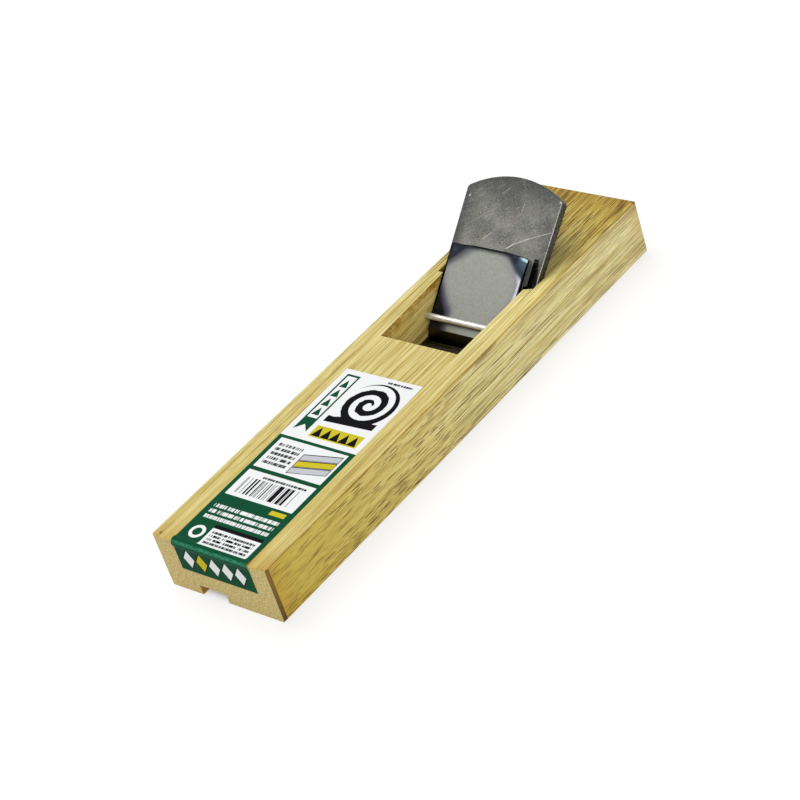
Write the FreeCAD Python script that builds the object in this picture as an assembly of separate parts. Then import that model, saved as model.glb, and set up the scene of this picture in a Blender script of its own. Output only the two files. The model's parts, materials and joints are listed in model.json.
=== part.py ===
import FreeCAD, Part
import math
import os
from FreeCAD import Vector

os.makedirs("parts", exist_ok=True)

# A Japanese wooden plane for chamfering boards, in millimetres.
# X runs across the body to the right, Y along it from the tail to the head, Z up.
# The origin is the middle of the sole. The plane is pulled towards its tail.

# Oak body
body_length = 212.0
body_height = 22.5
cheek_wall = 4.8
top_arris = 0.3
sole_arris = 1.0
tail_arris_across = 0.5
tail_arris_along = 1.9
head_arris = 0.4
end_top_arris = 0.4
end_sole_arris = 0.2

# Groove in the sole that rides on the corner of a board
guide_left_land = 14.5
guide_width = 12.1
guide_depth = 4.2

# Blade, laid on its bed with its hard steel face up. Its sides draw in towards the
# cutting edge, and its width is measured where its face meets the body's top.
blade_width = 42.0
blade_thickness = 2.9
blade_face_angle = 40.0
blade_wedge_angle = 0.8
blade_bevel_angle = 28.0
blade_side_angle = 0.9
blade_offset = -0.5
tail_to_blade = 157.2
head_shoulder_rise = 30.4
head_crown_rise = 6.05
head_corner_radius = 1.6
blade_edge_break = 0.25
steel_thickness = 0.9
steel_length = 34.0
hollow_depth = 0.2
hollow_side_land = 4.0
hollow_edge_land = 1.6
hollow_end_land = 3.0
hollow_end_rise = 6.0

# Chipbreaker that lies on the blade, a little left of its middle
cap_inset = 4.0
cap_offset = -0.2
cap_length = 36.0
cap_thickness = 2.0
cap_face_height = 3.7
cap_setback = 0.5
cap_bevel_run = 4.3
cap_contact_land = 0.6
cap_hollow_run = 8.0
cap_end_rise = 0.6
ear_across = 9.4
ear_along = 7.8
ear_drop = 0.6
ear_corner_radius = 0.8
cap_edge_break = 0.25

# Pin that holds the chipbreaker down
pin_diameter = 2.5
pin_above_edge = 8.7
pin_seat_depth = 4.2
pin_recess = 1.0
pin_end_break = 0.3

# Room round the blade and the chipbreaker
blade_side_fit = 0.2
cap_left_room = 1.8
cap_right_room = 1.0
cap_contact_gap = 0.02
pin_gap = 0.08
pin_fit = 0.01
edge_room = 0.7
edge_drop = 0.4

# Throat, whose left wall runs outwards from its front to the blade, and whose front
# falls steeply to a knee and then gently to the mouth
throat_length = 42.8
throat_left_flare = 1.6
throat_front_angle = 52.0
throat_knee_height = 9.0
mouth_gap = 1.2
mouth_lip_height = 0.6

# Side grooves of the blade: their shoulder at the body's top, how far the right one
# runs askew there, and the height below which they narrow towards the mouth
shoulder_ahead_of_blade = 3.9
right_shoulder_skew = 1.5
groove_knee_height = 12.2

# Paper label, folded over the top edge of the tail and stuck on a little askew
label_width = 34.3
label_offset = 0.6
label_turn = 0.57
label_top_length = 95.0
label_flap_length = 12.2
label_thickness = 0.15
label_fold_radius = 1.6
label_fold_inset = 1.05
label_lift_radius = 2.5

# Stainless wear strips let into the sole on both sides of the guide groove
strip_width = 5.0
strip_thickness = 1.0
strip_end_margin = 6.0
strip_screw_margin = 6.0
screws_per_strip = 3

# Countersunk screws of the wear strips
screw_length = 8.0
screw_diameter = 2.0
screw_head_diameter = 3.6
screw_head_height = 0.8
screw_tip_length = 1.6
screw_recess = 0.05
screw_slot_width = 0.5
screw_slot_depth = 0.4
screw_fit = 0.02

# Run of a cutting tool past the faces that it cuts
overrun = 2.0

# Places that follow from the sizes above
body_width = blade_width + 2 * (blade_side_fit + cheek_wall)
half_width = body_width / 2
tail_y = -body_length / 2
head_y = body_length / 2
face_angle = math.radians(blade_face_angle)
bed_angle = math.radians(blade_face_angle - blade_wedge_angle)
bevel_angle = math.radians(blade_bevel_angle)
wedge_slope = math.tan(math.radians(blade_wedge_angle))
face_y = tail_y + tail_to_blade
guide_left = -half_width + guide_left_land
guide_right = guide_left + guide_width
edge_along = -(body_height - guide_depth) / math.sin(face_angle)
head_along = head_shoulder_rise + head_crown_rise
cap_width = blade_width - 2 * cap_inset
cap_middle = blade_offset + cap_offset
cap_tip_along = edge_along + cap_setback
cap_top_along = cap_tip_along + cap_length
pin_along = edge_along + pin_above_edge
pin_above = cap_face_height + pin_gap + pin_diameter / 2
side_slope = math.tan(math.radians(blade_side_angle))
back_rise = blade_thickness / math.tan(face_angle)
groove_half = blade_width / 2 + back_rise * side_slope + blade_side_fit
throat_left = cap_middle - cap_width / 2 - cap_left_room
throat_right = cap_middle + cap_width / 2 + cap_right_room
shoulder_y = face_y - shoulder_ahead_of_blade
knee_y = shoulder_y - (body_height - groove_knee_height) / math.tan(face_angle)
floor_z = guide_depth - edge_drop


def on_blade(along, above):
    """Y and Z of a point given along the blade's face, from the height of the
    body's top, and above that face."""
    y = face_y + along * math.cos(face_angle) - above * math.sin(face_angle)
    z = body_height + along * math.sin(face_angle) + above * math.cos(face_angle)
    return y, z


def on_face(x, along, above):
    """Point on the blade's face, given across it, along it and above it."""
    y, z = on_blade(along, above)
    return Vector(x, y, z)


edge_y, edge_z = on_blade(edge_along, 0)
blade_back_y, blade_back_z = on_blade(0, -blade_thickness)


def bed_y(z):
    """Y of the bed that carries the blade's back, at a given height."""
    return blade_back_y + (z - blade_back_z) / math.tan(bed_angle)


def face_of(points):
    """Flat face with the given corners."""
    return Part.Face(Part.makePolygon(points + points[:1]))


def prism_along_x(outline, start, end):
    """Solid with a Y and Z outline, from one X to another."""
    corners = [Vector(start, y, z) for y, z in outline]
    return face_of(corners).extrude(Vector(end - start, 0, 0))


def prism_along_y(outline, start, end):
    """Solid with an X and Z outline, from one Y to another."""
    corners = [Vector(x, start, z) for x, z in outline]
    return face_of(corners).extrude(Vector(0, end - start, 0))


def prism_along_z(outline, start, end):
    """Solid with an X and Y outline, from one Z to another."""
    corners = [Vector(x, y, start) for x, y in outline]
    return face_of(corners).extrude(Vector(0, 0, end - start))


def box(x_range, y_range, z_range):
    """Plain box between pairs of X, Y and Z."""
    size = [pair[1] - pair[0] for pair in (x_range, y_range, z_range)]
    return Part.makeBox(*size, Vector(x_range[0], y_range[0], z_range[0]))


def oak_block():
    """Block with small arrises on its long edges and at both ends."""
    across = prism_along_y(
        [
            (-half_width, sole_arris),
            (-half_width + sole_arris, 0),
            (half_width - sole_arris, 0),
            (half_width, sole_arris),
            (half_width, body_height - top_arris),
            (half_width - top_arris, body_height),
            (-half_width + top_arris, body_height),
            (-half_width, body_height - top_arris),
        ],
        tail_y,
        head_y,
    )
    plan = prism_along_z(
        [
            (-half_width + tail_arris_across, tail_y),
            (half_width - tail_arris_across, tail_y),
            (half_width, tail_y + tail_arris_along),
            (half_width, head_y - head_arris),
            (half_width - head_arris, head_y),
            (-half_width + head_arris, head_y),
            (-half_width, head_y - head_arris),
            (-half_width, tail_y + tail_arris_along),
        ],
        0,
        body_height,
    )
    side = prism_along_x(
        [
            (tail_y + end_sole_arris, 0),
            (head_y - end_sole_arris, 0),
            (head_y, end_sole_arris),
            (head_y, body_height - end_top_arris),
            (head_y - end_top_arris, body_height),
            (tail_y + end_top_arris, body_height),
            (tail_y, body_height - end_top_arris),
            (tail_y, end_sole_arris),
        ],
        -half_width,
        half_width,
    )
    return across.common(plan).common(side)


def guide_groove():
    """Cut of the groove along the whole sole."""
    return box(
        (guide_left, guide_right),
        (tail_y - overrun, head_y + overrun),
        (-overrun, guide_depth),
    )


def throat():
    """Cut of the shaving throat, from the top down to the mouth."""
    throat_front = face_y - throat_length
    mouth_front = edge_y - mouth_gap
    fall = (body_height - throat_knee_height) / math.tan(math.radians(throat_front_angle))
    outline = [
        (throat_front, body_height + overrun),
        (throat_front, body_height),
        (throat_front + fall, throat_knee_height),
        (mouth_front, guide_depth + mouth_lip_height),
        (mouth_front, floor_z),
        (bed_y(floor_z), floor_z),
        (bed_y(body_height), body_height),
        (bed_y(body_height), body_height + overrun),
    ]
    plan = [
        (throat_left + throat_left_flare, throat_front),
        (throat_right, throat_front),
        (throat_right, head_y),
        (throat_left, head_y),
        (throat_left, shoulder_y),
    ]
    block = prism_along_x(outline, throat_left, throat_right)
    return block.common(prism_along_z(plan, 0, body_height + overrun))


def blade_grooves():
    """Cut of the two side grooves that the blade slides down in."""
    outline = [
        (shoulder_y, body_height + overrun),
        (shoulder_y, body_height),
        (knee_y, groove_knee_height),
        (edge_y - edge_room, floor_z),
        (bed_y(floor_z), floor_z),
        (bed_y(body_height), body_height),
        (bed_y(body_height), body_height + overrun),
    ]
    grooves = prism_along_x(outline, blade_offset - groove_half, blade_offset + groove_half)
    return grooves.cut(askew_shoulder())


def askew_shoulder():
    """Wood left on the right groove's shoulder, from its inner corner outwards. It
    runs out at the groove's knee."""
    outer = blade_offset + groove_half
    corners = [
        Vector(throat_right, shoulder_y, body_height),
        Vector(outer, shoulder_y, body_height),
        Vector(outer, shoulder_y + right_shoulder_skew, body_height),
        Vector(outer, knee_y, groove_knee_height),
    ]
    places = range(len(corners))
    sides = [face_of(corners[:place] + corners[place + 1 :]) for place in places]
    return Part.Solid(Part.Shell(sides))


def pin_ends():
    """X of the pin's two ends: inside the left side and blind in the right cheek."""
    left_x = -half_width + pin_recess
    right_x = throat_right + pin_seat_depth
    return left_x, right_x


def pin_hole():
    """Cut of the pin's hole, bored from the left side of the body."""
    y, z = on_blade(pin_along, pin_above)
    right_x = pin_ends()[1]
    radius = pin_diameter / 2 + pin_fit
    start = Vector(-half_width - overrun, y, z)
    return Part.makeCylinder(radius, right_x - start.x, start, Vector(1, 0, 0))


def strip_edges():
    """X range of the left and right wear strips, each flush with the groove's wall."""
    left = (guide_left - strip_width, guide_left)
    right = (guide_right, guide_right + strip_width)
    return {"left": left, "right": right}


def strip_y_range():
    """Y of both ends of the wear strips."""
    return tail_y + strip_end_margin, head_y - strip_end_margin


def screw_places(side):
    """Middle of each screw head on one wear strip."""
    x = sum(strip_edges()[side]) / 2
    first, last = strip_y_range()
    first += strip_screw_margin
    last -= strip_screw_margin
    step = (last - first) / (screws_per_strip - 1)
    return [Vector(x, first + number * step, 0) for number in range(screws_per_strip)]


def strip_rebate(side):
    """Cut in the sole that takes one wear strip."""
    return box(strip_edges()[side], strip_y_range(), (-overrun, strip_thickness))


def screw_outline(grow):
    """Half section of a screw from its axis, grown by a fit round it and at its tip."""
    shank = screw_diameter / 2 + grow
    head = screw_head_diameter / 2 + grow
    neck = screw_recess + screw_head_height
    tip = screw_recess + screw_length + grow
    return [
        (0, screw_recess),
        (head, screw_recess),
        (shank, neck),
        (shank, tip - screw_tip_length),
        (0, tip),
    ]


def turned_screw(place, grow):
    """Screw shape turned about its axis at one place on the sole."""
    corners = [place + Vector(radius, 0, z) for radius, z in screw_outline(grow)]
    return face_of(corners).revolve(place, Vector(0, 0, 1), 360)


def screw_cut(place):
    """Cut of a screw's hole with its countersink, open at the sole."""
    head = screw_head_diameter / 2 + screw_fit
    mouth = Part.makeCylinder(head, screw_recess + overrun, place - Vector(0, 0, overrun))
    return turned_screw(place, screw_fit).fuse(mouth)


def oak_body():
    """The block with its groove, throat, blade seat, pin hole and strip rebates."""
    body = oak_block()
    cuts = [guide_groove(), throat(), blade_grooves(), pin_hole()]
    for side in ("left", "right"):
        cuts.append(strip_rebate(side))
        cuts.extend(screw_cut(place) for place in screw_places(side))
    return body.cut(cuts)


def blade_blank():
    """The whole blade: wedge section, cutting bevel and crowned head."""
    heel_along = blade_thickness + edge_along * math.tan(bevel_angle)
    heel_along /= math.tan(bevel_angle) - wedge_slope
    outline = [
        on_blade(edge_along, 0),
        on_blade(heel_along, -(heel_along - edge_along) * math.tan(bevel_angle)),
        on_blade(head_along, -blade_thickness - head_along * wedge_slope),
        on_blade(head_along, 0),
    ]
    half = blade_half(head_along) + overrun
    wedge = prism_along_x(outline, blade_offset - half, blade_offset + half)
    return wedge.common(blade_plan())


def blade_half(along):
    """Half of the blade's width at a place along its face."""
    return blade_width / 2 + along * side_slope


def blade_plan():
    """The blade seen square to its face, with an arc for its crown."""
    edge_half, head_half = blade_half(edge_along), blade_half(head_shoulder_rise)
    corners = [
        on_face(blade_offset - edge_half, edge_along, overrun),
        on_face(blade_offset + edge_half, edge_along, overrun),
        on_face(blade_offset + head_half, head_shoulder_rise, overrun),
        on_face(blade_offset - head_half, head_shoulder_rise, overrun),
    ]
    crown = on_face(blade_offset, head_along, overrun)
    edges = [
        Part.makeLine(corners[0], corners[1]),
        Part.makeLine(corners[1], corners[2]),
        Part.Arc(corners[2], crown, corners[3]).toShape(),
        Part.makeLine(corners[3], corners[0]),
    ]
    depth = 2 * overrun + blade_thickness + head_along * wedge_slope
    inward = on_face(0, 0, 0) - on_face(0, 0, depth)
    plan = Part.Face(Part.Wire(edges)).extrude(inward)
    shoulders = [
        edge
        for edge in plan.Edges
        if is_parallel(edge, inward) and along_of(edge.CenterOfMass) > 0
    ]
    return plan.makeFillet(head_corner_radius, shoulders)


def is_parallel(edge, direction):
    """True for a straight edge that runs along a direction."""
    if not isinstance(edge.Curve, Part.Line):
        return False
    return edge.Curve.Direction.cross(direction).Length < 1e-6 * direction.Length


def along_of(point):
    """How far up the blade's face a point lies."""
    return (point - on_face(0, 0, 0)).dot(on_face(0, 1, 0) - on_face(0, 0, 0))


def above_of(point):
    """How high above the blade's face a point lies."""
    return (point - on_face(0, 0, 0)).dot(on_face(0, 0, 1) - on_face(0, 0, 0))


def broken_blade():
    """The blade with the sharp edges of its sides and crown broken."""
    blade = blade_blank()
    edges = [
        edge
        for edge in blade.Edges
        if abs(above_of(edge.CenterOfMass)) < blade_edge_break
        and along_of(edge.CenterOfMass) > edge_along + blade_edge_break
    ]
    return blade.makeChamfer(blade_edge_break, edges)


def steel_zone():
    """Slab at the front of the blade that the hard steel takes up."""
    outline = [
        on_blade(edge_along - overrun, overrun),
        on_blade(edge_along + steel_length, overrun),
        on_blade(edge_along + steel_length, -steel_thickness),
        on_blade(edge_along - overrun, -steel_thickness),
    ]
    half = blade_width / 2 + overrun
    return prism_along_x(outline, blade_offset - half, blade_offset + half)


def face_hollow():
    """Shallow hollow in the hard steel, with an arc at its upper end."""
    half = blade_width / 2 - hollow_side_land
    left, right = blade_offset - half, blade_offset + half
    low = edge_along + hollow_edge_land
    high = edge_along + steel_length - hollow_end_land
    corners = [
        on_face(left, low, overrun),
        on_face(right, low, overrun),
        on_face(right, high - hollow_end_rise, overrun),
        on_face(left, high - hollow_end_rise, overrun),
    ]
    top = on_face(blade_offset, high, overrun)
    edges = [
        Part.makeLine(corners[0], corners[1]),
        Part.makeLine(corners[1], corners[2]),
        Part.Arc(corners[2], top, corners[3]).toShape(),
        Part.makeLine(corners[3], corners[0]),
    ]
    inward = on_face(0, 0, 0) - on_face(0, 0, overrun + hollow_depth)
    return Part.Face(Part.Wire(edges)).extrude(inward)


def blade_steel():
    """Hard steel layer that carries the cutting edge."""
    return broken_blade().common(steel_zone()).cut(face_hollow())


def blade_iron():
    """Soft iron body of the blade, forge-welded to the steel."""
    return broken_blade().cut(steel_zone())


def cap_plate():
    """Chipbreaker before its ears: main plate, front bevel and hollow underside."""
    under = cap_face_height - cap_thickness
    outline = [
        on_blade(cap_tip_along, cap_contact_gap),
        on_blade(cap_tip_along + cap_contact_land, cap_contact_gap),
        on_blade(cap_tip_along + cap_contact_land + cap_hollow_run, under),
        on_blade(cap_top_along + cap_end_rise, under),
        on_blade(cap_top_along + cap_end_rise, cap_face_height),
        on_blade(cap_tip_along + cap_bevel_run, cap_face_height),
    ]
    half = cap_width / 2
    return prism_along_x(outline, cap_middle - half, cap_middle + half)


def ear_corners(side, above):
    """Both ends of one ear's fold line and its corner, on the side -1 or 1."""
    corner_x = cap_middle + side * cap_width / 2
    return [
        on_face(corner_x - side * ear_across, cap_top_along + cap_end_rise, above),
        on_face(corner_x, cap_top_along - ear_along, above),
        on_face(corner_x, cap_top_along, above),
    ]


def ear_bend():
    """Angle of an ear, which brings its corner down by the ear's drop."""
    fold_start, fold_end, corner = ear_corners(1, 0)
    fold = fold_end - fold_start
    reach = fold.cross(corner - fold_start).Length / fold.Length
    return math.asin(ear_drop / reach)


def ear(side):
    """Rounded corner of the chipbreaker, bent down about its fold line."""
    fold_start, fold_end, corner = ear_corners(side, cap_face_height)
    down = on_face(0, 0, -cap_thickness) - on_face(0, 0, 0)
    flap = face_of([fold_start, fold_end, corner]).extrude(down)
    uprights = [edge for edge in flap.Edges if is_parallel(edge, down)]
    outermost = min(uprights, key=lambda edge: (edge.CenterOfMass - corner).Length)
    flap = flap.makeFillet(ear_corner_radius, [outermost])
    axis = (fold_start - fold_end) * side
    flap.rotate(fold_start, axis, math.degrees(ear_bend()))
    return flap


def chipbreaker():
    """Steel plate with a steep front bevel and two ears bent down towards the blade."""
    plate = cap_plate()
    for side in (-1, 1):
        fold_start, fold_end, corner = ear_corners(side, cap_face_height + overrun)
        aside = Vector(side * overrun, 0, 0)
        beyond = on_face(0, overrun, 0) - on_face(0, 0, 0)
        outer = corner + aside + 2 * beyond
        outline = [fold_start, fold_end, fold_end + aside, outer, fold_start + beyond]
        down = on_face(0, 0, 0) - on_face(0, 0, cap_face_height + 2 * overrun)
        plate = plate.cut(face_of(outline).extrude(down))
    plate = plate.fuse([ear(-1), ear(1)]).removeSplitter()
    long_edges = [
        edge
        for edge in plate.Edges
        if abs(above_of(edge.CenterOfMass) - cap_face_height) < cap_edge_break
        and is_parallel(edge, on_face(0, 1, 0) - on_face(0, 0, 0))
    ]
    return plate.makeChamfer(cap_edge_break, long_edges)


def retaining_pin():
    """Straight pin across the throat, with both ends broken."""
    y, z = on_blade(pin_along, pin_above)
    left_x, right_x = pin_ends()
    start = Vector(left_x, y, z)
    pin = Part.makeCylinder(pin_diameter / 2, right_x - left_x, start, Vector(1, 0, 0))
    return pin.makeChamfer(pin_end_break, [edge for edge in pin.Edges if edge.Closed])


def label_path(lift):
    """The label's line at a distance off the wood: along the top from past its far
    end, out round the tail's edge in a loose fold, and down the tail."""
    fold_y, fold_z = tail_y + label_fold_inset, body_height - label_fold_inset
    fold = label_fold_radius + lift
    turn = label_lift_radius - lift
    rise = label_lift_radius + label_fold_inset
    run = math.sqrt((label_fold_radius + label_lift_radius) ** 2 - rise ** 2)
    tilt = math.atan2(run, rise)
    top_turn_y = fold_y + run
    end_turn_z = fold_z - run
    far_y = tail_y + label_top_length + overrun
    low_z = body_height - label_flap_length

    def round_fold(angle):
        return Vector(0, fold_y - fold * math.sin(angle), fold_z + fold * math.cos(angle))

    top_lift = Vector(0, top_turn_y, body_height + lift)
    half_top = Vector(
        0,
        top_turn_y - turn * math.sin(tilt / 2),
        body_height + label_lift_radius - turn * math.cos(tilt / 2),
    )
    end_lift = Vector(0, tail_y - lift, end_turn_z)
    half_end = Vector(
        0,
        tail_y - label_lift_radius + turn * math.cos(tilt / 2),
        end_turn_z + turn * math.sin(tilt / 2),
    )
    fold_start = round_fold(-tilt)
    fold_end = round_fold(math.pi / 2 + tilt)
    return [
        Part.makeLine(Vector(0, far_y, body_height + lift), top_lift),
        Part.Arc(top_lift, half_top, fold_start).toShape(),
        Part.Arc(fold_start, round_fold(math.pi / 4), fold_end).toShape(),
        Part.Arc(fold_end, half_end, end_lift).toShape(),
        Part.makeLine(end_lift, Vector(0, tail_y - lift, low_z)),
    ]


def label_plan():
    """Turned block that trims the label to its width and its far end."""
    left, right = label_offset - label_width / 2, label_offset + label_width / 2
    near_y, far_y = tail_y - overrun, tail_y + label_top_length
    corners = [(left, near_y), (right, near_y), (right, far_y), (left, far_y)]
    plan = prism_along_z(corners, 0, body_height + overrun)
    plan.rotate(Vector(label_offset, tail_y, 0), Vector(0, 0, 1), label_turn)
    return plan


def paper_label():
    """Printed paper stuck on the top and folded down the tail."""
    inner = label_path(0)
    outer = label_path(label_thickness)
    ends = [
        Part.makeLine(inner[0].firstVertex(True).Point, outer[0].firstVertex(True).Point),
        Part.makeLine(inner[-1].lastVertex(True).Point, outer[-1].lastVertex(True).Point),
    ]
    section = Part.Face(Part.Wire(Part.__sortEdges__(inner + outer + ends)))
    section.translate(Vector(label_offset - label_width, 0, 0))
    band = section.extrude(Vector(2 * label_width, 0, 0))
    return band.common(label_plan())


def wear_strip(side):
    """Stainless strip flush with the sole, countersunk for its screws."""
    strip = box(strip_edges()[side], strip_y_range(), (0, strip_thickness))
    return strip.cut([screw_cut(place) for place in screw_places(side)])


def strip_screw(place):
    """Slotted countersunk screw, its head just below the sole."""
    slot = box(
        (place.x - screw_head_diameter, place.x + screw_head_diameter),
        (place.y - screw_slot_width / 2, place.y + screw_slot_width / 2),
        (-overrun, screw_recess + screw_slot_depth),
    )
    return turned_screw(place, 0).cut(slot)


pieces = {
    "oak_body": oak_body(),
    "blade_iron": blade_iron(),
    "blade_steel": blade_steel(),
    "chipbreaker": chipbreaker(),
    "retaining_pin": retaining_pin(),
    "paper_label": paper_label(),
}
for side in ("left", "right"):
    pieces[f"{side}_wear_strip"] = wear_strip(side)
    for number, place in enumerate(screw_places(side), start=1):
        pieces[f"{side}_strip_screw_{number}"] = strip_screw(place)

for name, shape in pieces.items():
    shape.exportStep(f"parts/{name}.step")
    print(name, shape.isValid(), len(shape.Solids), round(shape.Volume, 1))
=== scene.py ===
import json
import math

import bpy
from mathutils import Matrix, Vector


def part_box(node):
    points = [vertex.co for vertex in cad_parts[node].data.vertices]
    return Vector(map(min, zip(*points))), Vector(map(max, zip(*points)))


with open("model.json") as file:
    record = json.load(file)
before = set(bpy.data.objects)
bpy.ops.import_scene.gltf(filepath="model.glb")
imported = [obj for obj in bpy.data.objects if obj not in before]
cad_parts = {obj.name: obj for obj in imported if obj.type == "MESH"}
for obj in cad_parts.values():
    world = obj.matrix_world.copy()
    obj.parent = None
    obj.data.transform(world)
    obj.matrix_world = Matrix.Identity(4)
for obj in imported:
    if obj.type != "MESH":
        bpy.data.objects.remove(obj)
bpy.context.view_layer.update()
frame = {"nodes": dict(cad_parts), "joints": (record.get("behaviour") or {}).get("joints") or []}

MM = 0.001

# Camera, at the photograph's place and angle
camera_place = Vector((0.53661, -0.46630, 0.49592))
camera_target = Vector((0.0, -0.008, 0.0106))
camera_roll = math.radians(-18.85)
camera_lens = 111.5
sensor_width = 36.0

# Lights, each with its place, its width and its power in watts
light_target = Vector((0.0, 0.0, 0.02))
overhead_place = Vector((-0.42, 0.10, 1.05))
overhead_width = 0.9
overhead_power = 9.0
fill_place = Vector((1.10, -0.60, 0.45))
fill_width = 1.1
fill_power = 9.5
sky_strength = 0.36
floor_width = 12.0

# Faces of the model that the finishes are laid out from
block_low, block_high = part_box("oak_body")
edge_low, edge_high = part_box("blade_steel")
label_low, label_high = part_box("paper_label")
label_turn = math.radians(0.57)
plate_low, plate_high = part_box("chipbreaker")
slide = Vector(next(joint["axis"] for joint in frame["joints"] if joint["child"] == "blade"))
blade_middle = (edge_low.x + edge_high.x) / 2
plate_middle = (plate_low.x + plate_high.x) / 2

# Limits that the wood's tones follow, in millimetres
throat_half_width = 22.0
groove_roof = 4.25
groove_land = 5.0
knee_height = 9.3
mouth_start, mouth_end = 22.0, 34.0
mouth_height = 6.0
just_inside = 0.05

# Half the blade's width at its edge, and what each side gains per millimetre up the blade
blade_half_width = 20.55
blade_widening = 0.0157

# The label's width in millimetres, and its inks
label_width = 34.3


def colour(red, green, blue):
    """Linear colour of a printed one, given from 0 to 255."""
    channels = [value / 255 for value in (red, green, blue)]
    linear = [c / 12.92 if c <= 0.04045 else ((c + 0.055) / 1.055) ** 2.4 for c in channels]
    return (*linear, 1.0)


white_ink = colour(240, 241, 242)
black_ink = colour(8, 7, 12)
green_ink = colour(8, 75, 48)
yellow_ink = colour(206, 192, 44)
grey_ink = colour(196, 198, 204)


def distance(aside, ahead):
    """Distance from a middle, of a place that lies aside and ahead of it."""
    return (aside * aside + ahead * ahead) ** 0.5


class Reading:
    """A value that varies over a surface, so that shader maths reads as Python."""

    def __init__(self, finish, socket):
        self.finish = finish
        self.socket = socket

    def maths(self, operation, *values):
        return self.finish.node("Math", dict(enumerate(values)), operation=operation)

    def __add__(self, other):
        return self.maths("ADD", self, other)

    def __radd__(self, other):
        return self.maths("ADD", other, self)

    def __sub__(self, other):
        return self.maths("SUBTRACT", self, other)

    def __rsub__(self, other):
        return self.maths("SUBTRACT", other, self)

    def __mul__(self, other):
        return self.maths("MULTIPLY", self, other)

    def __rmul__(self, other):
        return self.maths("MULTIPLY", other, self)

    def __truediv__(self, other):
        return self.maths("DIVIDE", self, other)

    def __rtruediv__(self, other):
        return self.maths("DIVIDE", other, self)

    def __gt__(self, other):
        return self.maths("GREATER_THAN", self, other)

    def __lt__(self, other):
        return self.maths("LESS_THAN", self, other)

    def __abs__(self):
        return self.maths("ABSOLUTE", self)

    def __mod__(self, other):
        return self.maths("FLOORED_MODULO", self, other)

    def __pow__(self, other):
        return self.maths("POWER", self, other)

    def floor(self):
        return self.maths("FLOOR", self)

    def least(self, other):
        return self.maths("MINIMUM", self, other)

    def most(self, other):
        return self.maths("MAXIMUM", self, other)

    def rise(self, low, high):
        """0 below low and 1 above high, with a smooth step between."""
        return self.finish.node(
            "MapRange",
            {"Value": self, "From Min": low, "From Max": high},
            interpolation_type="SMOOTHSTEP",
        )

    def within(self, low, high):
        """1 between two values and 0 outside them."""
        return (self > low) * (self < high)


class Nodes:
    """A tree of shader nodes, built through a few short calls."""

    def __init__(self, tree):
        self.tree = tree
        tree.nodes.clear()

    def add(self, kind, inputs=None, stops=None, **settings):
        """Adds a node with its settings, its values and its links."""
        node = self.tree.nodes.new("ShaderNode" + kind)
        for name, value in settings.items():
            setattr(node, name, value)
        for place, (position, stop) in enumerate(stops or []):
            elements = node.color_ramp.elements
            element = elements[place] if place < len(elements) else elements.new(position)
            element.position = position
            element.color = stop
        for name, value in (inputs or {}).items():
            if isinstance(value, Reading):
                self.tree.links.new(value.socket, node.inputs[name])
            else:
                node.inputs[name].default_value = value
        return node

    def node(self, kind, inputs=None, output=0, **settings):
        """Adds a node and returns the reading of one of its outputs."""
        return Reading(self, self.add(kind, inputs, **settings).outputs[output])

    def vector(self, x, y, z):
        return self.node("CombineXYZ", {"X": x, "Y": y, "Z": z})

    def split(self, vector):
        return [self.node("SeparateXYZ", {0: vector}, output=axis) for axis in "XYZ"]

    def place(self):
        """X, Y and Z of the surface in millimetres."""
        metres = self.node("TexCoord", output="Object")
        scaled = self.node("VectorMath", {0: metres, "Scale": 1 / MM}, operation="SCALE")
        return self.split(scaled)

    def facing(self):
        """X, Y and Z of the way that the surface faces."""
        return self.split(self.node("TexCoord", output="Normal"))

    def noise(self, vector, detail=2.0, roughness=0.5):
        return self.node(
            "TexNoise", {"Vector": vector, "Scale": 1.0, "Detail": detail, "Roughness": roughness}
        )

    def clouds(self, x, y, z, scale, detail=2.0, roughness=0.5):
        """Noise with the same scale per millimetre all ways."""
        return self.noise(self.vector(x * scale, y * scale, z * scale), detail, roughness)

    def mix(self, share, first, second, blend="MIX"):
        """First colour where the share is 0, and the second where it is 1."""
        inputs = {0: share, 6: first, 7: second}
        return self.node("Mix", inputs, output=2, data_type="RGBA", blend_type=blend)

    def bump(self, height, distance, strength=1.0):
        """Relief from a height of 0 to 1 that stands a distance high."""
        return self.node("Bump", {"Height": height, "Distance": distance, "Strength": strength})

    def rays(self):
        """1 for what the camera sees, straight or in a mirror or through glass."""
        rays = self.add("LightPath")
        seen, mirrored, through = (
            Reading(self, rays.outputs[name])
            for name in ("Is Camera Ray", "Is Glossy Ray", "Is Transmission Ray")
        )
        return seen.most(mirrored).most(through)


class Finish(Nodes):
    """One material, with its nodes."""

    def __init__(self, name):
        self.material = bpy.data.materials.new(name)
        self.material.use_nodes = True
        super().__init__(self.material.node_tree)

    def surface(self, **inputs):
        """Ends the material in one Principled shader."""
        named = {name.replace("_", " "): value for name, value in inputs.items()}
        shader = self.node("BsdfPrincipled", named)
        self.add("OutputMaterial", {"Surface": shader})
        return self.material


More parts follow.
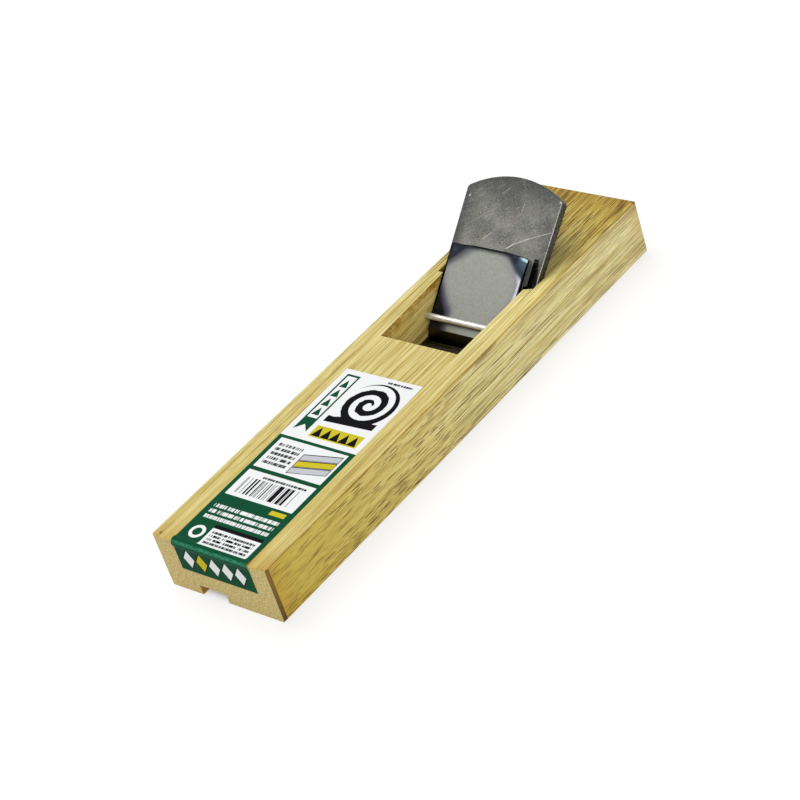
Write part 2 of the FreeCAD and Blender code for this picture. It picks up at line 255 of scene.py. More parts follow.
class Oak(Finish):
    """The block's oak, with the faces and stretches of it that the tones follow."""

    def __init__(self):
        super().__init__("oak")
        self.x, self.y, self.z = self.place()
        self.toward_x, self.toward_y, self.toward_z = self.facing()
        self.low, self.high = block_low / MM, block_high / MM
        self.on_top = self.toward_z > 0.5
        self.on_side = abs(self.toward_x) > 0.9
        self.on_end = abs(self.toward_y) > 0.9
        self.from_tail = self.y.rise(self.low.y, self.high.y)
        self.right_cheek = self.on_top * self.x.rise(16, 21)
        self.beside_middle = abs(self.x - blade_middle / MM) < throat_half_width
        throat_height = self.z.within(groove_roof, self.high.z - just_inside)
        self.in_throat = self.beside_middle * throat_height * (1 - self.on_end)

        # Places that the pores are laid out on, drawn out towards the head
        stretch_start = -10
        past_start = self.y.most(stretch_start) - stretch_start
        self.drawn_along = self.y.least(stretch_start) + past_start * 0.45
        self.drawn_aside = self.x * (1 - self.on_side) + self.z * self.on_side

        self.wander = self.grain(0.05, 0.006)
        self.lines = self.grain(2.1, 0.04, detail=3)
        self.early = self.early_wood()

    def grain(self, across, along, detail=2.0):
        """Noise drawn out along the length, with its scale per millimetre."""
        return self.noise(self.vector(self.x * across, self.y * along, self.z * across), detail)

    def early_wood(self):
        """1 on the pale wood of the slanting rings, which wander along the length."""
        ring_width = 3.4
        season = (self.x * 0.85 - self.z * 0.53 + self.wander * 10) / ring_width % 1.0
        return 1 - season.rise(0.0, 0.55)

    def streaks(self):
        """Streaks from pale early wood to brown late wood, stronger towards the head."""
        on_side, from_tail = self.on_side, self.from_tail
        bands = self.grain(0.4, 0.008)
        narrow = self.grain(1.1, 0.018)
        strength = 0.66 + from_tail * 0.45 + self.in_throat * 0.5
        strength = strength + on_side * (from_tail * 0.7 - 0.45)
        strength = strength - self.on_top * self.y.rise(40, 70) * 0.1
        spread = bands * 0.22 + narrow * 0.30 + self.lines * 0.48 - 0.5 - on_side * 0.012
        return self.node(
            "ValToRGB",
            {"Fac": 0.5 + spread * strength + self.early * 0.04},
            stops=[
                (0.40, colour(232, 222, 164)),
                (0.48, colour(220, 206, 140)),
                (0.55, colour(202, 181, 105)),
                (0.63, colour(166, 137, 62)),
            ],
        )

    def dashes(self, across, along, size, seed):
        """Dark dashes along the grain, each a cell of a drawn-out pattern."""
        aside = self.drawn_aside * across + seed
        ahead = self.drawn_along * along + self.wander * 0.4
        cells = {"Vector": self.vector(aside, ahead, 0.0), "Scale": 1.0}
        reach = self.node("TexVoronoi", cells, output="Distance", voronoi_dimensions="2D")
        shade = self.node("TexVoronoi", cells, output="Color", voronoi_dimensions="2D")
        kept = self.split(shade)[0]
        return (1 - reach.rise(size * 0.8, size)) * kept.rise(0.42, 0.6)

    def pores(self):
        """Open pores: short dashes on the sides near the tail, longer ones towards the head."""
        y, on_side = self.y, self.on_side
        patch = self.grain(0.12, 0.02)
        rows = self.grain(0.7, 0.008).rise(0.40, 0.54)
        crowding = 0.28 + self.early * 0.06 + patch.rise(0.45, 0.65) * 0.04
        thick = self.dashes(1.4, 0.1, crowding, 0.0)
        thin = self.dashes(2.2, 0.13, crowding, 31.0) * 0.9
        short = thick.most(thin) * (0.25 + rows * 0.75)
        short = short * (0.6 + y.rise(self.low.y, -40) * 0.4) * (1 - y.rise(10, 90) * 0.2)
        drawn_out = self.dashes(1.7, 0.03, 0.24, 53.0) * self.from_tail * 0.6
        on_cheek = self.right_cheek * y.rise(24, 48) * 0.9
        on_upper_faces = (0.28 + y.rise(40, 70) * 0.5).most(on_cheek)
        toward_head = (self.on_top * y.rise(60, 76) * 0.95).most(on_side * y.rise(10, 50) * 0.5)
        head_pores = self.dashes(1.7, 0.17, 0.30, 77.0) * toward_head
        return (short.most(drawn_out) * on_side.most(on_upper_faces)).most(head_pores)

    def painted_light_cheek(self, wood):
        """Painted light on the right cheek, beside the throat and under the blade, that pales and
        warms the wood where the blade's shadow falls.
        """
        y = self.y
        # Painted light, strongest where the blade's shadow lies and fading past the blade's foot
        lit_beside_throat = self.right_cheek * (y.rise(10, 30) * 0.3 + y.rise(30, 48) * 0.7)
        lit_beside_throat = lit_beside_throat * (1 - y.rise(50, 66))
        lit_under_blade = self.right_cheek * y.rise(50, 66) * (1 - y.rise(68, 92))
        cheek_lit = self.mix(lit_beside_throat, wood, colour(184, 162, 88), blend="SCREEN")
        return self.mix(lit_under_blade, cheek_lit, colour(172, 140, 44), blend="SCREEN")

    def toned_along_length(self, wood):
        """Golden tone of the head's top, amber of the tail, tan towards both ends, and sides paler
        towards the head.
        """
        y, on_top, on_side = self.y, self.on_top, self.on_side
        head_top = on_top * y.rise(30, self.high.y)
        golden = self.mix(head_top, wood, colour(222, 208, 132), blend="MULTIPLY")
        amber = on_side * 0.95 * (1 - y.rise(self.low.y, 42)) + on_top * 0.4 * (1 - self.from_tail)
        yellowed = self.mix(amber, golden, colour(228, 216, 138), blend="MULTIPLY")
        toward_ends = abs(y).rise(92, self.high.y) * 0.45
        ended = self.mix(toward_ends, yellowed, colour(226, 196, 132), blend="MULTIPLY")
        return self.mix(on_side * self.from_tail * 0.2, ended, colour(240, 230, 178))

    def end_grain(self):
        """Tan end grain, speckled with pores, with faint rings and browner blotches."""
        speck = self.clouds(self.x, self.y, self.z, 1.5, detail=4, roughness=0.75)
        blotch = self.clouds(self.x, self.y, self.z, 0.35)
        tan = self.mix(speck.rise(0.34, 0.66), colour(234, 218, 150), colour(174, 150, 84))
        ringed = self.mix(self.early * 0.15, tan, colour(164, 138, 78))
        return self.mix(blotch.rise(0.45, 0.6) * 0.4, ringed, colour(216, 184, 134))

    def shaded_and_lit_walls(self, wood):
        """Sawn walls of the groove, darkened by painted shade, and of the throat, paled by painted
        light against their shade; the left throat wall is smudged under the top.
        """
        x, y, z = self.x, self.y, self.z
        across_groove = x.within(self.low.x + groove_land, self.high.x - groove_land)
        in_groove = z.within(just_inside, groove_roof) * across_groove * (1 - self.on_end)
        # Painted shade inside the guide groove
        shaded_and_lit_walls = self.mix(in_groove * 0.5, wood, colour(200, 180, 130), blend="MULTIPLY")
        # Painted light on the throat's walls, which lie in shade
        shaded_and_lit_walls = self.mix(self.in_throat * 0.34, shaded_and_lit_walls, colour(242, 212, 92))
        smudge = self.noise(self.vector(x * 0.5, y * 0.3, z * 0.5), detail=3, roughness=0.7)
        wall_top = self.in_throat * (self.toward_x > 0.5) * z.rise(15.5, 21.5)
        smudged = wall_top * (0.4 + smudge.rise(0.42, 0.58) * 0.6)
        return self.mix(smudged, shaded_and_lit_walls, colour(200, 172, 110), blend="MULTIPLY")

    def painted_shade_mouth(self, wood):
        """Painted shade: nearly black on the slope at the foot of the throat and round the mouth's
        rim, where shade falls.
        """
        # Painted shade at the throat's foot and in the mouth
        slope = self.in_throat * (self.toward_y > 0.1) * (self.toward_z > 0.3) * (self.z < knee_height)
        painted_rim = self.y.within(mouth_start, mouth_end) * self.z.within(just_inside, mouth_height)
        return self.mix(slope.most(self.beside_middle * painted_rim) * 0.97, wood, colour(22, 17, 13))

    def shaded_arrises_and_marks(self, wood):
        """Darker arrises, the top's by painted shade that dims their highlight, and two small handling
        marks on the top's corners.
        """
        x, y, z, low, high = self.x, self.y, self.z, self.low, self.high
        aslant = abs(self.toward_x) > 0.5
        top_arris = aslant * (self.toward_z > 0.5)
        # Painted shade along the top's arrises
        arris_shaded = self.mix(top_arris, wood, colour(214, 196, 150), blend="MULTIPLY")
        tail_mark = 1 - distance(x - low.x - 3.0, (y - low.y - 1.6) * 0.7).rise(0.3, 0.75)
        head_mark = 1 - distance(x - high.x + 0.7, y - high.y + 0.7).rise(0.7, 1.2)
        marks = tail_mark.most(head_mark) * (z > high.z - 1)
        marked = self.mix(marks * 0.8, arris_shaded, colour(92, 62, 22))
        tail_arris = aslant * (abs(self.toward_y) > 0.15) * (y < low.y + 1.5)
        arris_tone = self.mix(z.rise(2, 18), colour(70, 46, 16), colour(108, 80, 28))
        return self.mix(tail_arris * 0.9, marked, arris_tone)


def oak():
    """Pale straw oak with straight streaks along the grain and dark open pores."""
    block = Oak()
    pores = block.pores()
    pored = block.mix(pores, block.painted_light_cheek(block.streaks()), colour(94, 56, 0))
    sawn = block.mix(block.on_end, block.toned_along_length(pored), block.end_grain())
    return block.surface(
        Base_Color=block.shaded_arrises_and_marks(block.painted_shade_mouth(block.shaded_and_lit_walls(sawn))),
        Roughness=0.52 + pores * 0.2 + block.on_end * 0.15,
        Specular_IOR_Level=0.25,
        Normal=block.bump(1 - pores * 0.6 - block.lines * 0.3, 0.00010, 0.4),
    )


class OnSlant(Finish):
    """Steel on the blade's slant: places across from a middle, up the blade's face from
    its edge, and above that face."""

    def __init__(self, name, middle):
        super().__init__(name)
        x, y, z = self.place()
        from_edge_y = y - edge_low.y / MM
        from_edge_z = z - edge_low.z / MM
        self.across = x - middle / MM
        self.along = from_edge_y * slide.y + from_edge_z * slide.z
        self.above = from_edge_z * slide.y - from_edge_y * slide.z
        self.toward_x, self.toward_y, self.toward_z = self.facing()
        self.toward_along = self.toward_y * slide.y + self.toward_z * slide.z

    def mottling(self, scale, detail=2.0, roughness=0.5):
        """Noise over the metal, with its scale per millimetre."""
        return self.clouds(self.across, self.along, self.above, scale, detail, roughness)

    def fine_lines(self, across_scale, along_scale):
        """Fine lines up the face, with their scales per millimetre."""
        place = self.vector(self.across * across_scale, self.along * along_scale, self.above)
        return self.noise(place, detail=2)


class Blade(OnSlant):
    """The blade's steel or iron: grey patina, scratches, and dark scale on the sides."""

    def __init__(self, name):
        super().__init__(name, blade_middle)
        self.on_rim = (abs(self.toward_x) > 0.9).most(self.toward_along > 0.5)
        under_ear = self.across.within(15.2, 17.0) * self.along.within(27.0, 37.4)
        self.under_ear = under_ear * (self.above > -0.1)
        self.near_edge = 1 - self.along.rise(5, 9)
        self.cloud = self.mottling(0.10, detail=3)
        self.grit = self.mottling(1.6, detail=4, roughness=0.65)

    def patina(self):
        """Cloudy grey with a purplish tint in places, and paler grit."""
        tint = self.mottling(0.16, detail=3)
        grey = self.mix(self.cloud.rise(0.38, 0.62), colour(90, 91, 86), colour(122, 121, 115))
        tinted = self.mix(tint.rise(0.5, 0.7) * 0.5, grey, colour(110, 98, 104))
        return self.mix(self.grit.rise(0.42, 0.60) * 0.5, tinted, colour(134, 134, 129))

    def shaded_and_flecked(self, steel):
        """Painted shade darkening the head and sides of the face, a painted black shadow and
        reflection beside the chipbreaker, the pale strip that its right ear stands on, and small
        flecks."""
        across, along = self.across, self.along
        shaded_share = (along.rise(46, 68) * 0.98).most(across.rise(12, 20.5) * 0.5)
        shaded_share = shaded_share.most((1 - across.rise(-21.5, -14.5)) * 0.85)
        # Painted shade over the head and both sides of the face
        shaded_and_flecked = self.mix(shaded_share, steel, colour(60, 62, 62))
        past_plate = across - 19.0 - (37.4 - along) * 0.24
        shadow_beside_plate = abs(across).rise(16.2, 16.6) * (1 - past_plate.rise(-0.4, 0.3))
        shadow_beside_plate = shadow_beside_plate * (1 - along.rise(37.0, 37.6))
        # Painted shadow and dark reflection of the chipbreaker, beside it on both sides
        shaded_and_flecked = self.mix(shadow_beside_plate * 0.95, shaded_and_flecked, colour(10, 10, 11))
        shaded_and_flecked = self.mix(self.under_ear, shaded_and_flecked, colour(114, 119, 110))
        flecks = self.mottling(1.2, detail=5, roughness=0.8).rise(0.64, 0.72)
        return self.mix(flecks * 0.35, shaded_and_flecked, colour(166, 166, 160))

    def scratch(self, start, end, width):
        """1 on a straight scratch between two places on the face."""
        run = Vector(end) - Vector(start)
        across, along = self.across - start[0], self.along - start[1]
        share = (across * run.x + along * run.y) / run.length_squared
        nearest = share.most(0.0).least(1.0)
        off_scratch = distance(across - nearest * run.x, along - nearest * run.y)
        return 1 - off_scratch.rise(width / 2, width)

    def scuffs(self, angle, length, width):
        """Sparse fine scratches that all run one way."""
        turn = math.radians(angle)
        with_run = self.across * math.cos(turn) + self.along * math.sin(turn)
        over_run = self.along * math.cos(turn) - self.across * math.sin(turn)
        field = self.noise(self.vector(with_run / length, over_run / width, 0.0), detail=1)
        return 1 - abs(field - 0.5).rise(0.0, 0.012)

    def marks(self):
        """Fine scuffs, and single scratches from their start to their end."""
        marks = self.scuffs(32, 9.0, 0.35) * 0.25
        marks = marks.most(self.scuffs(-58, 7.0, 0.4) * 0.15)
        for start, end, width, depth in (
            ((3.6, 39.0), (6.2, 41.0), 0.30, 0.65),
            ((6.2, 41.0), (12.4, 44.1), 0.22, 0.55),
            ((12.4, 44.1), (20.6, 47.5), 0.16, 0.5),
            ((6.2, 41.0), (6.8, 43.2), 0.16, 0.45),
            ((-7.7, 40.8), (-4.9, 43.5), 0.22, 0.4),
            ((5.5, 52.8), (5.7, 56.0), 0.14, 0.35),
            ((-5.3, 58.0), (-2.4, 60.5), 0.14, 0.35),
            ((-15.0, 46.0), (-6.0, 53.0), 0.12, 0.25),
            ((-19.4, 55.2), (-19.2, 55.6), 0.40, 0.7),
        ):
            marks = marks.most(self.scratch(start, end, width) * depth)
        return marks

    def rimmed(self, steel):
        """Dark scale on the rim, worn corners of the face, and a painted glint at its right shoulder.
        """
        scale = self.mix(self.grit.rise(0.40, 0.60), colour(42, 42, 36), colour(86, 85, 74))
        scaled = self.mix(self.on_rim * 0.95, steel, scale)
        broken = self.mottling(0.9, detail=3).rise(0.40, 0.6)
        side_place = blade_half_width + self.along * blade_widening
        corner = (abs(self.across) > side_place - 0.13) * (self.above > -0.15) * broken
        worn = self.mix(corner * 0.75, scaled, colour(184, 183, 174))
        # Painted glint at the right shoulder of the face
        at_shoulder = (self.across > side_place - 1.1) * self.along.within(58.3, 60.0)
        shoulder_glint = at_shoulder * (self.above > -0.2) * (1 - self.on_rim)
        return self.mix(shoulder_glint * 0.6, worn, colour(204, 206, 200))

    def sharpened(self, steel):
        """Painted shade on the face beside the cutting edge, and the bright bevel under it."""
        bright = self.mix(self.fine_lines(14, 0.4), colour(138, 138, 134), colour(186, 186, 182))
        on_bevel = (self.toward_y * slide.z - self.toward_z * slide.y) > 0.3
        # Painted shade beside the cutting edge
        edge_shaded = self.mix(self.near_edge, steel, colour(46, 42, 34))
        return self.mix(on_bevel, edge_shaded, bright)


def blade_metal(name, whetted):
    """Grey patina with cloudy mottling, fine scratches and dark scale on the sides.
    Whetted steel is darkened by painted shade beside its cutting edge and bright on the bevel."""
    blade = Blade(name)
    marks = blade.marks()
    scratched = blade.mix(marks, blade.shaded_and_flecked(blade.patina()), colour(196, 195, 188))
    rimmed = blade.rimmed(scratched)
    rough = 0.1 + blade.along.rise(33, 38) * 0.12 + blade.grit * 0.1 + blade.on_rim * 0.25
    return blade.surface(
        Base_Color=blade.sharpened(rimmed) if whetted else rimmed,
        # Less metallic under the painted shade beside the cutting edge, and on the pale strip under
        # the right ear
        Metallic=1 - (blade.under_ear * 0.9).most(blade.near_edge * 0.6),
        Roughness=rough,
        Normal=blade.bump(blade.grit * 0.6 + blade.cloud * 0.4 - marks * 0.6, 0.00008, 0.4),
    )


class Chipbreaker(OnSlant):
    """The chipbreaker's steel, with its ground patch and the blue-black skin round it."""

    def __init__(self):
        super().__init__("chipbreaker_steel", plate_middle)
        self.on_left = self.across < 0
        self.on_right = self.across.rise(12, 15)
        self.on_side = (abs(self.toward_x) > 0.8) * (self.above < 3.4)
        self.worn = self.on_side * (self.above < 2.2)
        self.lines = self.fine_lines(9, 0.8)
        self.ragged = self.mottling(0.25)
        corner_aside = abs(self.across) - 6.4 - self.on_left * 0.7
        self.past_corner = corner_aside * 0.666 + (self.along - 37.1) * 0.746
        self.outside = self.off_ground_face()
        self.soft_side = self.on_left * (1 - self.along.rise(18, 26))
        self.skin = self.skinned_share()

    def off_ground_face(self):
        """Millimetres outside the ground patch, an oval whose upper corners are cut off."""
        aside = self.across / (16.6 + self.on_left * 0.7)
        middle = 24.5 + self.on_left * 2.5
        over = (self.along.least(middle) - middle) / (16.2 + self.on_left * 2.4)
        oval = (distance(aside, over) - 1) * 15.5
        upper = oval.maths("SMOOTH_MAX", oval, self.past_corner, 1.5)
        lower = (abs(self.across) - 10.4).most(self.along - 19.0)
        return upper.maths("SMOOTH_MIN", upper, lower, 1.5) + (self.ragged - 0.5) * 0.8

    def skinned_share(self):
        """0 on the ground patch and 1 on the skin, which begins more softly on the left."""
        soft_corner = self.on_left * self.along.rise(27, 33)
        eased = self.outside + soft_corner * 0.4 + self.soft_side * 0.4
        return (eased / (1 + soft_corner + self.soft_side * 0.7)).rise(-1.2, 1.3)

    def ground(self):
        """Satin grinding with faint lines, hazed towards the skin."""
        speck = self.mottling(1.8, detail=4)
        satin = self.mix(speck.rise(0.35, 0.65), colour(130, 132, 124), colour(142, 144, 136))
        brushed = self.mix(self.lines.rise(0.3, 0.8) * 0.12, satin, colour(160, 161, 154))
        haze = self.outside.rise(-3.4, -0.8) * 0.3
        return self.mix(haze, brushed, colour(106, 101, 124))

    def skin_with_glint(self):
        """Blue-black skin, and teal towards the right corner that lightens as a painted reflection,
        with a painted glint across it.
        """
        blued = self.mix(self.ragged.rise(0.35, 0.7), colour(28, 31, 40), colour(46, 48, 60))
        # Teal lightening towards the corner: painted reflection
        toward_corner = (self.across * 0.5 + self.along - 37.0).rise(0.0, 7.0)
        teal = self.mix(toward_corner, colour(32, 38, 50), colour(58, 72, 84))
        # Painted glint along the bent ear
        off_glint = abs(self.along - 36.35 + (self.across - 12.9) * 0.25)
        glint = (1 - off_glint.rise(0.2, 0.8)) * self.across.rise(12.4, 15.4)
        glinting = self.mix(glint * 0.75, teal, colour(160, 180, 186))
        return self.mix(self.on_right * (self.past_corner > -2.0), blued, glinting)

    def face(self):
        """Ground patch and skin, a violet fringe on the left between them, a painted highlight
        along the rim on the right, and the dark upper edge."""
        skin, outside = self.skin, self.outside
        coated = self.mix(skin, self.ground(), self.skin_with_glint())
        fringe = skin.rise(0.0, 0.6) * (1 - skin.rise(0.6, 1.0)) * self.soft_side
        fringed = self.mix(fringe * 0.55, coated, colour(78, 76, 116))
        # Painted highlight along the right rim of the ground patch
        painted_rim = outside.rise(-1.1, -0.3) * (1 - outside.rise(0.3, 0.9)) * self.on_right
        painted_rim = painted_rim * (1 - self.along.rise(27, 31))
        rimmed = self.mix(painted_rim * 0.8, fringed, colour(200, 198, 214))
        top_edge = (self.along + self.ragged * 0.8).rise(35.2, 37.0) * (1 - self.across.rise(8, 12))
        return self.mix(top_edge * 0.85, rimmed, colour(22, 27, 27))

    def edged(self, steel):
        """Bevelled front edge in painted shade, and dark sides with worn ears."""
        on_bevel = self.toward_along < -0.3
        on_top_end = (self.along > 36.4).most(self.toward_along > 0.6)
        # Painted shade and dark reflection of the throat on the bevel, darkest at its foot
        shaded_bevel_tone = self.mix(self.above.rise(0.6, 3.4), colour(26, 21, 18), colour(84, 76, 62))
        bevelled = self.mix(on_bevel, steel, shaded_bevel_tone)
        worn_tone = self.mix(self.lines.rise(0.35, 0.7), colour(70, 76, 74), colour(104, 110, 104))
        side_tone = self.mix(self.worn, colour(9, 9, 10), worn_tone)
        dark = self.on_side.most(on_top_end).most(self.toward_x > 0.5) * (1 - on_bevel)
        dark_tone = self.mix(self.on_side, colour(22, 24, 28), side_tone)
        return self.mix(dark * 0.95, bevelled, dark_tone)


def chipbreaker_steel():
    """Belt-ground middle, blue-black skin round it, and dark edges."""
    plate = Chipbreaker()
    return plate.surface(
        Base_Color=plate.edged(plate.face()),
        Metallic=1 - plate.worn * 0.9,
        Roughness=0.34 - plate.skin * 0.06 + plate.lines * 0.06,
        Normal=plate.bump(plate.lines * (1 - plate.skin) + plate.ragged * 0.3, 0.00003, 0.4),
    )


def polished_pin():
    """Polished steel with fine marks round the pin, and painted shade on its underside."""
    finish = Finish("polished_pin")
    x, y, z = finish.place()
    rings = finish.noise(finish.vector(x * 6, y * 0.4, z * 0.4), detail=2)
    cloud = finish.noise(finish.vector(x * 0.5, y, z), detail=2)
    polished = finish.mix(cloud.rise(0.35, 0.7), colour(216, 214, 208), colour(186, 184, 178))
    # Painted shade on the pin's downward faces
    tone = finish.mix(1 - finish.facing()[2].rise(-0.5, 0.1), polished, colour(56, 52, 46))
    relief = finish.bump(rings, 0.00002, 0.5)
    return finish.surface(Base_Color=tone, Metallic=0.6, Roughness=0.28 + rings * 0.1, Normal=relief)


def stainless():
    """Brushed stainless steel, its lines along the sole."""
    finish = Finish("stainless")
    x, y, z = finish.place()
    lines = finish.noise(finish.vector(x * 12, y * 0.15, z * 12), detail=3)
    cloud = finish.noise(finish.vector(x * 0.3, y * 0.05, z), detail=2)
    tone = finish.mix(lines.rise(0.25, 0.8), colour(176, 177, 178), colour(212, 212, 210))
    rubbed = finish.mix(cloud.rise(0.45, 0.75) * 0.35, tone, colour(150, 150, 150))
    relief = finish.bump(lines, 0.00002, 0.6)
    return finish.surface(
        Base_Color=rubbed, Metallic=1.0, Roughness=0.28 + lines * 0.12, Normal=relief
    )


def screw_steel():
    """Bright screw steel, mottled at the scale of the heads."""
    finish = Finish("screw_steel")
    x, y, z = finish.place()
    grit = finish.clouds(x, y, z, 4, detail=3)
    tone = finish.mix(grit.rise(0.3, 0.7), colour(150, 149, 145), colour(196, 195, 190))
    relief = finish.bump(grit, 0.00003, 0.5)
    return finish.surface(Base_Color=tone, Metallic=1.0, Roughness=0.3 + grit * 0.15, Normal=relief)


class Label(Finish):
    """Printed paper, laid out flat: u runs across the sheet, v up from the tail's edge."""

    def __init__(self):
        super().__init__("printed_label")
        self.x, self.y, self.z = self.place()
        askew = math.tan(label_turn)
        left = label_low.x / MM + (label_high.y - block_low.y) / MM * askew
        self.v = self.y - block_low.y / MM + self.z - block_high.z / MM
        self.u = self.x + self.v.most(0.0) * askew - left
        self.inked = green_ink

    def paint(self, mask, ink):
        self.inked = self.mix(mask, self.inked, ink)

    def panel(self, low_u, high_u, low_v, high_v):
        return self.u.within(low_u, high_u) * self.v.within(low_v, high_v)

    def disc(self, middle_u, middle_v, radius):
        return distance(self.u - middle_u, self.v - middle_v) < radius

    def rows(self, low_u, high_u, low_v, high_v, count, seed):
        """Rows of small dashes that stand for fine print."""
        pitch = (high_v - low_v) / count
        row = ((self.v - low_v) / pitch).floor()
        in_row = ((self.v - low_v) % pitch) < pitch * 0.6
        cells = self.vector(self.u * 1.7, row * 7.3 + seed, seed)
        dashes = self.noise(cells, detail=3, roughness=0.7) > 0.46
        return in_row * dashes * self.panel(low_u, high_u, low_v, high_v)

    def triangles(self, low_u, high_u, low_v, high_v, count):
        """Row of upright triangles side by side."""
        pitch = (high_u - low_u) / count
        off_middle = abs((self.u - low_u) % pitch / pitch * 2 - 1)
        height = (self.v - low_v) / (high_v - low_v)
        return (height < 1 - off_middle) * self.panel(low_u, high_u, low_v, high_v)

    def board(self, low_u, high_u, low_v, thickness, slope):
        """Long board seen at a slant."""
        height = self.v - low_v - (self.u - low_u) * slope
        return height.within(0.0, thickness) * self.u.within(low_u, high_u)

    def ribbon(self):
        """Green ribbon with a notched foot and a white field of triangles."""
        notch = 61.5 + (3.0 - abs(self.u - 5.4)) * 1.1
        ribbon = self.panel(2.4, 8.4, 61.5, 92.6) * (self.v > notch)
        self.paint(ribbon, green_ink)
        self.paint(ribbon * self.panel(3.2, 7.6, 68.5, 91.6), white_ink)
        for low_v in (70.0, 75.2, 80.4, 85.6):
            self.paint(self.triangles(3.7, 7.1, low_v, low_v + 4.2, 1), green_ink)

    def shaving_curl(self):
        """Black brushed spiral of a shaving, on a stroke, over a yellow band of triangles."""
        out_u, out_v = self.u - 21.4, self.v - 80.6
        radius = distance(out_u, out_v)
        turn = out_u.maths("ARCTAN2", out_u, out_v) / (2 * math.pi)
        brush = self.noise(self.vector(radius * 0.6, turn * 16, 0.0), detail=3)
        winding = (radius / 5.2 + turn) % 1.0
        self.paint((winding < 0.42 + brush * 0.24) * radius.within(1.2, 11.2), black_ink)
        self.paint(self.board(10.6, 31.6, 68.4, 2.4 + brush * 1.6, 0.06), black_ink)
        self.paint(self.panel(10.6, 31.8, 60.0, 66.0), yellow_ink)
        self.paint(self.triangles(11.2, 31.2, 60.6, 65.4, 5), black_ink)
        self.paint(self.rows(20.5, 31.5, 92.6, 94.2, 1, 5.0), black_ink)

    def board_panel(self):
        """White panel with fine print beside three stacked boards."""
        self.paint(self.panel(1.9, label_width - 1.9, 40.6, 56.2), white_ink)
        self.paint(self.rows(3.4, 14.4, 43.0, 54.6, 5, 9.0), colour(60, 60, 62))
        for low_v, ink in ((41.8, grey_ink), (45.2, yellow_ink), (48.6, grey_ink)):
            self.paint(self.board(16.0, 31.4, low_v - 0.35, 3.3, 0.22), black_ink)
            self.paint(self.board(16.3, 31.1, low_v, 2.6, 0.22), ink)

    def bar_panel(self):
        """White panel with bars of chance widths."""
        bar_width = 0.27
        self.paint(self.panel(1.9, label_width - 1.9, 25.6, 38.8), white_ink)
        column = (self.u / bar_width).floor()
        bars = self.node("TexWhiteNoise", {"W": column}, noise_dimensions="1D") > 0.5
        self.paint(bars * self.panel(4.6, 28.0, 27.4, 35.4), black_ink)
        self.paint(self.rows(10.0, 29.6, 36.2, 37.8, 1, 17.0), black_ink)

    def tail_panels(self):
        """Small marks near the tail: a yellow tab, rows, a headed panel and a ring."""
        self.paint(self.panel(24.6, 31.4, 22.4, 24.4), yellow_ink)
        self.paint(self.rows(2.6, 31.6, 13.4, 21.6, 3, 13.0), white_ink)
        self.paint(self.panel(10.4, 32.2, 2.2, 11.8), white_ink)
        self.paint(self.panel(10.4, 32.2, 10.2, 11.8), black_ink)
        self.paint(self.rows(11.6, 30.8, 3.0, 9.6, 4, 21.0), black_ink)
        self.paint(self.disc(6.0, 6.8, 3.1), white_ink)
        self.paint(self.disc(6.0, 6.8, 1.8), green_ink)

    def fold_diamonds(self):
        """Five diamonds on the folded-down end, the second of them yellow."""
        pitch = 5.9
        number = ((self.u - 2.4) / pitch).floor()
        off_middle = abs((self.u - 2.4) % pitch / pitch * 2 - 1) + abs((self.v + 6.8) / 4.4)
        row = self.v.within(-11.6, -2.0) * self.u.within(2.4, label_width - 2.4)
        self.paint(row * (off_middle < 1.0), black_ink)
        fill = self.mix(number.within(0.5, 1.5), white_ink, yellow_ink)
        self.paint(row * (off_middle < 0.84), fill)

    def worn(self, paper, fibre):
        """Fine fibres, and the print rubbed paler along the fold, which also serves as a painted
        highlight there.
        """
        toned = self.mix(fibre * 0.12, paper, colour(225, 222, 210), blend="MULTIPLY")
        place = self.vector(self.x * 0.9, self.y * 2.0, self.z * 2.0)
        crease = self.noise(place, detail=4, roughness=0.7)
        # Paler green along the fold: rubbed print and painted highlight
        at_fold = 1 - abs(self.v + 0.4).rise(0.2, 1.5)
        rubbed = at_fold * (0.3 + crease.rise(0.36, 0.62) * 0.7)
        return self.mix(rubbed * 0.55, toned, colour(86, 176, 142))


def printed_label():
    """Printed paper: white head with a shaving curl, green below it with plain panels."""
    sheet = Label()
    sheet.paint(sheet.v > 57.6, white_ink)
    sheet.ribbon()
    sheet.shaving_curl()
    sheet.board_panel()
    sheet.bar_panel()
    sheet.tail_panels()
    sheet.fold_diamonds()
    fibre = sheet.clouds(sheet.x, sheet.y, sheet.z, 3, detail=3)
    return sheet.surface(
        Base_Color=sheet.worn(sheet.inked, fibre),
        Roughness=0.34 + fibre * 0.1,
        Specular_IOR_Level=0.02,
        Normal=sheet.bump(fibre, 0.00002, 0.4),
    )


def white_floor():
    """Floor that the camera sees white, with the plane's shadow on it. What lies
    beneath the block gives no light of its own, so that the guide groove stays dark."""
    finish = Finish("white_floor")
    x, y, z = finish.place()
    high = block_high / MM
    beneath = (1 - abs(x).rise(high.x - 5, high.x)) * (1 - abs(y).rise(high.y - 5, high.y))
    speck = finish.clouds(x, y, z, 1)
    pale = finish.mix(speck * 0.03, colour(236, 236, 234), colour(220, 220, 218))
    lit = finish.node("BsdfDiffuse", {"Color": pale})
    far = distance(x, y).rise(300, 900)
    shine = finish.mix(far, colour(227, 227, 227), colour(255, 255, 255))
    glow = finish.node("Emission", {"Color": shine, "Strength": 0.94})
    dim = finish.node("BsdfDiffuse", {"Color": colour(150, 150, 149)})
    shown = finish.node("AddShader", {0: dim, 1: glow})
    whole = finish.node("MixShader", {0: finish.rays() * (1 - beneath), 1: lit, 2: shown})
    finish.add("OutputMaterial", {"Surface": whole})
    return finish.material


def dress(nodes, material):
    """Gives CAD nodes their finish."""
    for name in nodes:
        mesh = frame["nodes"][name].data
        mesh.materials.clear()
        mesh.materials.append(material)


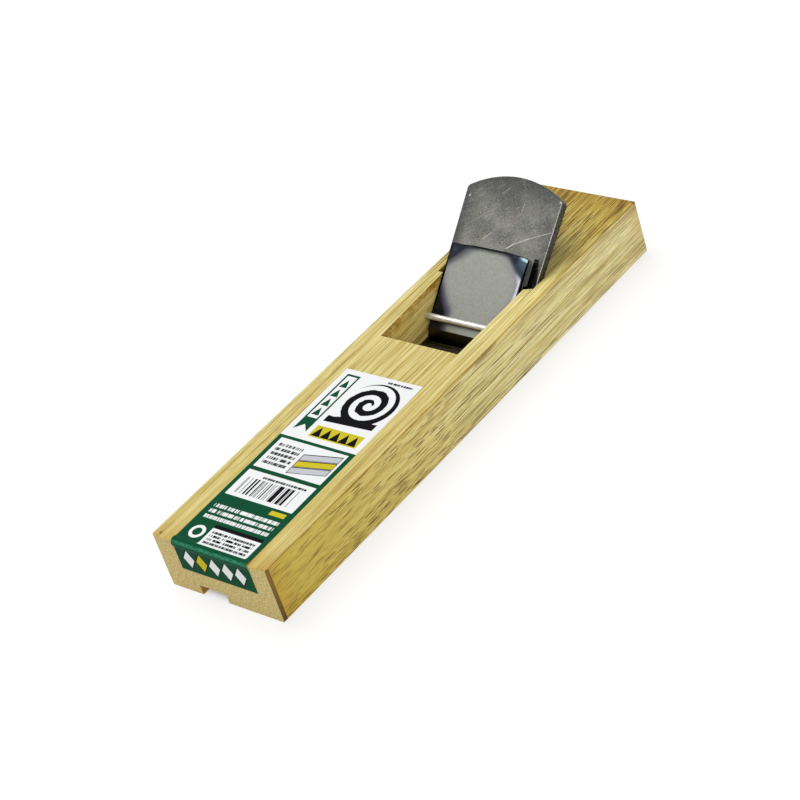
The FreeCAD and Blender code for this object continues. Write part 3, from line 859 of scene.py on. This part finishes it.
def add_floor():
    """Large flat floor at the height of the sole."""
    half = floor_width / 2
    mesh = bpy.data.meshes.new("floor")
    corners = [(-half, -half, 0), (half, -half, 0), (half, half, 0), (-half, half, 0)]
    mesh.from_pydata(corners, [], [(0, 1, 2, 3)])
    mesh.materials.append(white_floor())
    floor = bpy.data.objects.new("floor", mesh)
    bpy.context.scene.collection.objects.link(floor)


def turned_to(place, target, roll=0.0):
    """World matrix of something at a place that looks at a target."""
    facing = (target - place).to_track_quat("-Z", "Y")
    return Matrix.Translation(place) @ facing.to_matrix().to_4x4() @ Matrix.Rotation(roll, 4, "Z")


def add_light(name, place, width, power):
    """Square soft light that looks at the plane."""
    light = bpy.data.lights.new(name, "AREA")
    light.size = width
    light.energy = power
    lamp = bpy.data.objects.new(name, light)
    lamp.visible_camera = False
    bpy.context.scene.collection.objects.link(lamp)
    lamp.matrix_world = turned_to(place, light_target)


def add_sky():
    """Plain white surroundings, seen at full white."""
    world = bpy.data.worlds.new("surroundings")
    world.use_nodes = True
    sky = Nodes(world.node_tree)
    strength = sky.rays() * (1 - sky_strength) + sky_strength
    plain = sky.node("Background", {"Color": colour(255, 255, 255), "Strength": strength})
    sky.add("OutputWorld", {"Surface": plain})
    bpy.context.scene.world = world


def add_camera():
    """Camera at the photograph's place, with its roll."""
    camera = bpy.data.cameras.new("camera")
    camera.lens = camera_lens
    camera.sensor_width = sensor_width
    camera.clip_start = MM
    holder = bpy.data.objects.new("camera", camera)
    bpy.context.scene.collection.objects.link(holder)
    holder.matrix_world = turned_to(camera_place, camera_target, camera_roll)
    bpy.context.scene.camera = holder


dress(["oak_body"], oak())
dress(["blade_iron"], blade_metal("forged_iron", whetted=False))
dress(["blade_steel"], blade_metal("edge_steel", whetted=True))
dress(["chipbreaker"], chipbreaker_steel())
dress(["retaining_pin"], polished_pin())
dress(["paper_label"], printed_label())
dress(["left_wear_strip", "right_wear_strip"], stainless())
dress([name for name in frame["nodes"] if "_strip_screw_" in name], screw_steel())

add_floor()
add_light("overhead_light", overhead_place, overhead_width, overhead_power)
add_light("fill_light", fill_place, fill_width, fill_power)
add_sky()
add_camera()
bpy.context.scene.view_settings.view_transform = "Standard"
